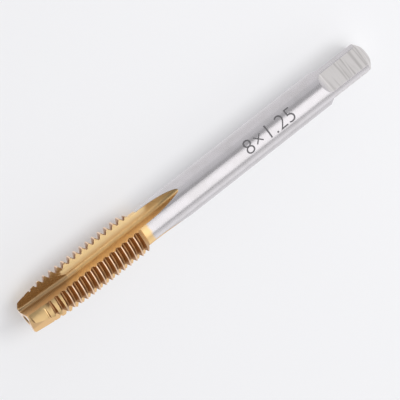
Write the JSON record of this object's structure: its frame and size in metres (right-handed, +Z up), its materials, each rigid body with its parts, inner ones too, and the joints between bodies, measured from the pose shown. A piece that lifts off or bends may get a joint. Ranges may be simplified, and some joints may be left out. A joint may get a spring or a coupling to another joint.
{
  "type": "thread tap",
  "caption": "Machine tap for a metric thread: tapered lead with slanted spiral-point gashes, fluted gold-coated thread, plain steel shank and milled drive square.",
  "frame": {"origin": "middle of the bounding box's base, on the surface the tap lies on", "axes": "+X along the tap from its drive square to its point, +Y across it, +Z up; at rest the tap's axis falls 0.52 degrees towards the square"},
  "size_m": [0.0696, 0.008, 0.0077],
  "materials": {
    "tool_steel": "fine ground high-speed steel, gold-coloured hard coating on the thread and in the flutes"
  },
  "bodies": {
    "root": {"tap": "tool_steel"}
  },
  "joints": []
}
